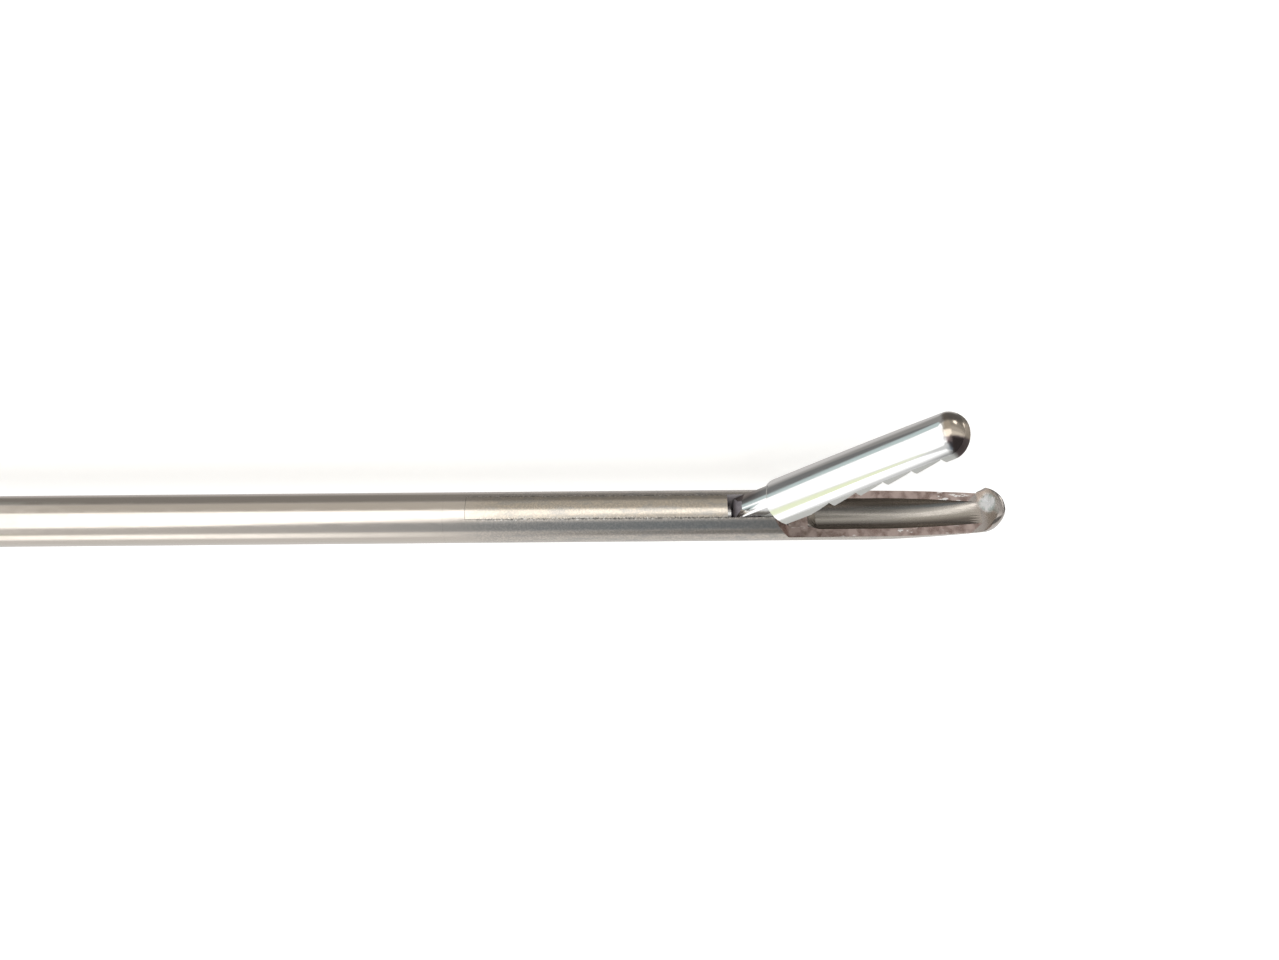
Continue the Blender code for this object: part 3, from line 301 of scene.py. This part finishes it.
def milled_steel(name, colour, roughness):
    """A face as the cutter left it."""
    made, shader, nodes = material(name, colour, roughness)
    marks = cutter_marks(nodes)
    nodes.feed(shader.inputs["Roughness"], nodes.ramp(marks, 0.3, 0.7, roughness * 0.8, roughness * 1.2))
    nodes.feed(shader.inputs["Normal"], nodes.bump(marks, 0.15, 0.01 * MM))
    return made


def channel_steel():
    """The channel between the rims: ground grey, with painted shade on its near side."""
    made, shader, nodes = material("channel_steel", CHANNEL_COLOUR, 0.27)
    place = nodes.add("ShaderNodeTexCoord").outputs["Object"]
    # Painted shade: the channel's near side is painted darker
    near = nodes.ramp(across_shaft(nodes, place), -0.05 * MM, 0.35 * MM)
    marks = cutter_marks(nodes)
    colour = nodes.mix(near, opaque(CHANNEL_COLOUR), opaque(CHANNEL_NEAR_SHADE_COLOUR))
    nodes.feed(shader.inputs["Base Color"], colour)
    nodes.feed(shader.inputs["Roughness"], nodes.ramp(marks, 0.3, 0.7, 0.22, 0.32))
    nodes.feed(shader.inputs["Normal"], nodes.bump(marks, 0.15, 0.01 * MM))
    return made


def lip_steel():
    """The lip and its pocket: smooth and brown-grey, with a painted highlight, one spot painted almost white
    and tinged green in streaks at its edge.
    """
    made, shader, nodes = material("lip_steel", LIP_COLOUR, 0.24)
    place = nodes.add("ShaderNodeTexCoord").outputs["Object"]
    squeeze = (1.0, 0.6, 1.0)
    moved = nodes.add("ShaderNodeMapping")
    nodes.feed(moved.inputs["Vector"], place)
    moved.inputs["Scale"].default_value = squeeze
    moved.inputs["Location"].default_value = [-spot * scale for spot, scale in zip(HIGHLIGHT_SPOT, squeeze)]
    length = nodes.add("ShaderNodeVectorMath", operation="LENGTH")
    nodes.feed(length.inputs[0], moved.outputs["Vector"])
    away = length.outputs["Value"]
    # Painted highlight: the spot is painted almost white and non-metal, with a painted green tinge in streaks
    # towards its edge
    painted_highlight = nodes.ramp(away, HIGHLIGHT_RADIUS - 0.22 * MM, HIGHLIGHT_RADIUS + 0.10 * MM, 1.0, 0.0)
    streaks = nodes.noise(nodes.stretched((2500.0, 900.0, 2500.0)), 1.0, 3.0)
    edge = nodes.ramp(away, 0.20 * MM, 0.55 * MM, 0.15, 0.8)
    highlight_tinge = nodes.maths("MULTIPLY", edge, nodes.ramp(streaks, 0.47, 0.57))
    highlight_colour = nodes.mix(highlight_tinge, grey(1.0), (0.42, 0.50, 0.46, 1.0))
    nodes.feed(shader.inputs["Base Color"], nodes.mix(painted_highlight, opaque(LIP_COLOUR), highlight_colour))
    nodes.feed(shader.inputs["Metallic"], nodes.ramp(painted_highlight, 0.0, 1.0, 1.0, 0.15))
    nodes.feed(shader.inputs["Roughness"], nodes.ramp(streaks, 0.3, 0.7, 0.20, 0.30))
    nodes.feed(shader.inputs["Normal"], nodes.bump(streaks, 0.05, 0.01 * MM))
    return made


def slot_steel(name, dark, light):
    """Inside the slot: dull and non-metal, with random stains of the cutter's smear and old oil. Its tone is
    painted: the slot's copy is painted pale, as painted light that lifts the slot's shade, and the heel's
    copy is painted dark, as painted shade.
    """
    made, shader, nodes = material(name, light, 0.6, 0.0)
    stains = nodes.noise(nodes.stretched((1200.0, 2500.0, 2500.0)), 1.0, 4.0, 0.6)
    colour = nodes.mix(nodes.ramp(stains, 0.35, 0.65), opaque(dark), opaque(light))
    nodes.feed(shader.inputs["Base Color"], colour)
    nodes.feed(shader.inputs["Normal"], nodes.bump(stains, 0.2, 0.01 * MM))
    return made


def satin_steel():
    """The handle: even satin stainless."""
    made, shader, nodes = material("satin_steel", (0.60, 0.60, 0.59), 0.34)
    grain = nodes.noise(nodes.stretched((2500.0, 2500.0, 2500.0)), 1.0, 4.0, 0.6)
    nodes.feed(shader.inputs["Roughness"], nodes.ramp(grain, 0.3, 0.7, 0.29, 0.40))
    nodes.feed(shader.inputs["Normal"], nodes.bump(grain, 0.08, 0.01 * MM))
    return made


def smooth_look(obj):
    """Shades the faceted CAD node smoothly between its sharp edges."""
    mesh = obj.data
    if "custom_normal" in mesh.attributes:
        mesh.attributes.remove(mesh.attributes["custom_normal"])
    mesh.shade_smooth()
    weld = obj.modifiers.new("weld", "WELD")
    weld.merge_threshold = WELD_DISTANCE
    split = obj.modifiers.new("sharp_edges", "EDGE_SPLIT")
    split.split_angle = SHARP_ANGLE


def dress(obj, looks, choose):
    """Gives the node its materials; choose names the look of a face from its centre and normal."""
    mesh = obj.data
    mesh.materials.clear()
    names = list(looks)
    for name in names:
        mesh.materials.append(looks[name])
    for face in mesh.polygons:
        face.material_index = names.index(choose(face.center, face.normal))


def lower_jaw_face(centre, normal):
    """Which finish a face of the lower jaw's piece has: drawn outside, milled where it was cut."""
    ahead = centre.x - JAW_PIVOT_X
    radial = math.hypot(centre.y, centre.z - SHAFT_AXIS_Z)
    if ahead < DRAWN_LENGTH and radial > 0.97 * SHAFT_RADIUS:
        return "drawn"
    if centre.x > LIP_START_X:
        return "lip"
    if ahead > STEP_START and normal.x > 0.3 and centre.x < CHANNEL_START_X:
        return "rim"
    if ahead > RIM_START and abs(centre.y - RIM_LEVEL) < 0.01 * MM:
        return "rim"
    if centre.x > CHANNEL_START_X and centre.y < RIM_LEVEL and normal.y > 0.05:
        return "channel"
    if centre.x > CHANNEL_START_X:
        return "drawn"
    # The slot's faces are painted pale, as painted light that lifts their shade
    return "slot"


def upper_jaw_face(centre, normal):
    """The tang's heel, which faces back into the slot, gets painted shade; the rest of the upper jaw is
    polished.
    """
    return "heel" if centre.x < HEEL_END_X and normal.x < -0.3 else "polished"


def drive_rod_face(centre, normal):
    """The rod's tab in the slot gets the slot's pale painted light; the rod itself is ground."""
    return "slot" if centre.x > ROD_TAB_START_X else "ground"


def plain_face(centre, normal):
    return "all"


def studio_panels(nodes):
    """The pale and dark panels that the metal mirrors, by the turn about the shaft and the place to the side.

    The turn is 0 towards the rest view's camera and grows upward in its picture.
    """
    direction = nodes.add("ShaderNodeTexCoord").outputs["Generated"]
    up = nodes.dot(direction, IMAGE_UP)
    toward = nodes.dot(direction, TO_CAMERA)
    side = nodes.dot(direction, ACROSS)
    turn = nodes.maths("ARCTAN2", up, toward)
    right = nodes.ramp(side, -0.5, 0.05)
    far_left = nodes.ramp(side, -0.60, -0.53, 1.0, 0.0)
    far_right = nodes.ramp(side, 0.09, 0.18)

    def band(low, high, soft, share=1.0):
        edges = between_edges(nodes, turn, math.radians(low), math.radians(high), math.radians(soft))
        return nodes.maths("MULTIPLY", edges, share)

    # Panels that the shaft mirrors
    look = nodes.mix(band(-92.0, -66.0, 6.0), grey(0.80), nodes.mix(right, grey(1.9), grey(0.3)))
    front = nodes.mix(right, grey(0.72), (0.24, 0.28, 0.32, 1.0))
    look = nodes.mix(band(-64.0, -19.0, 6.0), look, front)
    look = nodes.mix(band(-15.0, 16.0, 5.0), look, nodes.mix(right, grey(2.0), grey(0.72)))
    window_low = nodes.ramp(side, -0.5, 0.05, math.radians(-30.0), math.radians(14.0))
    low_step = nodes.ramp(nodes.maths("SUBTRACT", turn, window_low), math.radians(-5.0), math.radians(5.0))
    high_step = nodes.ramp(turn, math.radians(32.0), math.radians(42.0))
    look = nodes.mix(nodes.maths("SUBTRACT", low_step, high_step), look, grey(2.1))
    look = nodes.mix(band(38.0, 80.0, 5.0), look, (0.66, 0.64, 0.60, 1.0))
    look = nodes.mix(band(80.0, 142.0, 6.0), look, (0.31, 0.30, 0.29, 1.0))
    look = nodes.mix(band(136.0, 200.0, 10.0), look, (0.62, 0.60, 0.59, 1.0))

    # Panels far to the left, which the upper jaw mirrors
    look = nodes.mix(band(-130.0, -75.0, 4.0, far_left), look, grey(0.95))
    look = nodes.mix(band(-75.0, -58.0, 4.0, far_left), look, (0.98, 1.04, 0.74, 1.0))
    look = nodes.mix(band(-56.0, 84.0, 4.0, far_left), look, grey(1.35))
    look = nodes.mix(band(83.0, 106.0, 5.0, far_left), look, (0.58, 0.68, 0.68, 1.0))
    look = nodes.mix(band(104.0, 129.0, 5.0, far_left), look, grey(0.20))

    # Panels to the right, which the ball nose mirrors
    look = nodes.mix(band(-95.0, 8.0, 5.0, far_right), look, grey(0.17))
    look = nodes.mix(band(8.0, 26.0, 5.0, far_right), look, grey(1.1))
    look = nodes.mix(band(26.0, 52.0, 6.0, far_right), look, grey(0.75))
    look = nodes.mix(band(52.0, 80.0, 8.0, far_right), look, grey(0.48))
    look = nodes.mix(band(80.0, 140.0, 8.0, far_right), look, grey(0.28))
    upper_right = nodes.maths("MULTIPLY", far_right, nodes.ramp(side, 0.40, 0.55, 1.0, 0.0))
    look = nodes.mix(band(140.0, 200.0, 10.0, far_right), look, grey(0.14))
    look = nodes.mix(band(140.0, 200.0, 10.0, upper_right), look, grey(0.90))
    for aim_side, aim_turn in SMALL_LAMPS:
        upright = IMAGE_UP * math.sin(aim_turn) + TO_CAMERA * math.cos(aim_turn)
        aim = ACROSS * aim_side + upright * math.sqrt(1 - aim_side ** 2)
        toward_lamp = nodes.dot(direction, aim)
        lamp = nodes.ramp(toward_lamp, math.cos(SMALL_LAMP_ANGLE), math.cos(SMALL_LAMP_ANGLE / 2))
        look = nodes.mix(lamp, look, grey(SMALL_LAMP_LEVEL))
    return look


def make_world():
    """Plain light on everything; the metal mirrors the studio's panels instead."""
    world = bpy.data.worlds.new("studio")
    bpy.context.scene.world = world
    world.use_nodes = True
    tree = world.node_tree
    tree.nodes.clear()
    nodes = Nodes(tree)
    path = nodes.add("ShaderNodeLightPath")
    studio = nodes.add("ShaderNodeBackground")
    nodes.feed(studio.inputs["Color"], studio_panels(nodes))
    white = nodes.add("ShaderNodeBackground")
    white.inputs["Color"].default_value = grey(1.0)
    plain = nodes.add("ShaderNodeBackground")
    plain.inputs["Color"].default_value = grey(PLAIN_LIGHT)
    seen = nodes.maths("MAXIMUM", path.outputs["Is Camera Ray"], path.outputs["Is Transmission Ray"])
    first = nodes.add("ShaderNodeMixShader")
    nodes.feed(first.inputs[0], path.outputs["Is Glossy Ray"])
    nodes.feed(first.inputs[1], plain.outputs[0])
    nodes.feed(first.inputs[2], studio.outputs[0])
    second = nodes.add("ShaderNodeMixShader")
    nodes.feed(second.inputs[0], seen)
    nodes.feed(second.inputs[1], first.outputs[0])
    nodes.feed(second.inputs[2], white.outputs[0])
    nodes.feed(nodes.add("ShaderNodeOutputWorld").inputs["Surface"], second.outputs[0])


def make_floor():
    """A plain pale floor that keeps the shadow."""
    half = FLOOR_SIZE / 2
    mesh = bpy.data.meshes.new("floor")
    corners = [(-half, -half, 0.0), (half, -half, 0.0), (half, half, 0.0), (-half, half, 0.0)]
    mesh.from_pydata(corners, [], [(0, 1, 2, 3)])
    floor = bpy.data.objects.new("floor", mesh)
    bpy.context.scene.collection.objects.link(floor)
    made, shader, nodes = material("floor", FLOOR_COLOUR, 0.9, 0.0)
    path = nodes.add("ShaderNodeLightPath")
    seen = nodes.maths("MAXIMUM", path.outputs["Is Camera Ray"], path.outputs["Is Glossy Ray"])
    seen = nodes.maths("MAXIMUM", seen, path.outputs["Is Transmission Ray"])
    shader.inputs["Emission Color"].default_value = opaque(FLOOR_GLOW_COLOUR)
    nodes.feed(shader.inputs["Emission Strength"], nodes.maths("MULTIPLY", seen, FLOOR_GLOW))
    mesh.materials.append(made)
    floor.visible_glossy = False


def make_camera():
    cos, sin = math.cos(VIEW_ROLL), math.sin(VIEW_ROLL)
    right = ACROSS * cos - IMAGE_UP * sin
    up = ACROSS * sin + IMAGE_UP * cos
    centre = Vector((JAW_PIVOT_X + (CENTRE_COLUMN - JAW_PIVOT_COLUMN) * PIXEL, 0.0, SHAFT_AXIS_Z))
    centre += up * CENTRE_RAISED
    data = bpy.data.cameras.new("camera")
    data.sensor_width = SENSOR_WIDTH
    data.lens = SENSOR_WIDTH * CAMERA_DISTANCE / PIXEL / IMAGE_WIDTH
    data.clip_start = MM
    data.clip_end = 2 * FLOOR_SIZE
    camera = bpy.data.objects.new("camera", data)
    bpy.context.scene.collection.objects.link(camera)
    turn = Matrix((right, up, TO_CAMERA)).transposed()
    camera.matrix_world = Matrix.Translation(centre + TO_CAMERA * CAMERA_DISTANCE) @ turn.to_4x4()
    bpy.context.scene.camera = camera


def dress_part():
    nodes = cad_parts
    for obj in nodes.values():
        smooth_look(obj)
    drawn = drawn_steel("drawn_steel", DRAWN_COLOUR, DRAWN_COLOUR)
    # Painted light: the slot's faces are painted pale and non-metal, which lifts their shade
    slot = slot_steel("slot_steel", (0.62, 0.58, 0.60), (0.78, 0.74, 0.75))
    # Painted shade: a darker copy of the slot's look, for the tang's heel
    heel = slot_steel("heel_painted_shade", (0.26, 0.24, 0.26), (0.38, 0.35, 0.38))
    looks = {
        "drawn": drawn,
        "rim": rim_steel(),
        "channel": channel_steel(),
        "lip": lip_steel(),
        "slot": slot,
    }
    dress(nodes["lower_jaw"], looks, lower_jaw_face)
    satin = satin_steel()
    ground = milled_steel("ground_steel", (0.60, 0.59, 0.57), 0.25)
    dress(nodes["upper_jaw"], {"polished": polished_steel(), "heel": heel}, upper_jaw_face)
    dress(nodes["drive_rod"], {"ground": ground, "slot": slot}, drive_rod_face)
    bronze = milled_steel("turned_bronze", (0.55, 0.38, 0.18), 0.35)
    rubber = material("seal_rubber", (0.03, 0.03, 0.03), 0.7, 0.0)[0]
    plain = {
        "shaft": drawn,
        "slot_cover": drawn_steel("cover_steel", DRAWN_COLOUR, TINTED_COLOUR),
        "fixed_handle": satin,
        "thumb_handle": satin,
        "shaft_collar": satin,
        "jaw_pivot_pin": ground,
        "drive_pin": ground,
        "rod_barrel": ground,
        "shaft_set_screw": ground,
        "handle_pivot_screw": ground,
        "pivot_nut": ground,
        "rod_guide_bush": bronze,
        "lever_washer_upper": bronze,
        "lever_washer_lower": bronze,
        "rod_seal_ring": rubber,
    }
    for name, look in plain.items():
        dress(nodes[name], {"all": look}, plain_face)


dress_part()
make_world()
make_floor()
make_camera()
bpy.context.scene.view_settings.view_transform = "Standard"
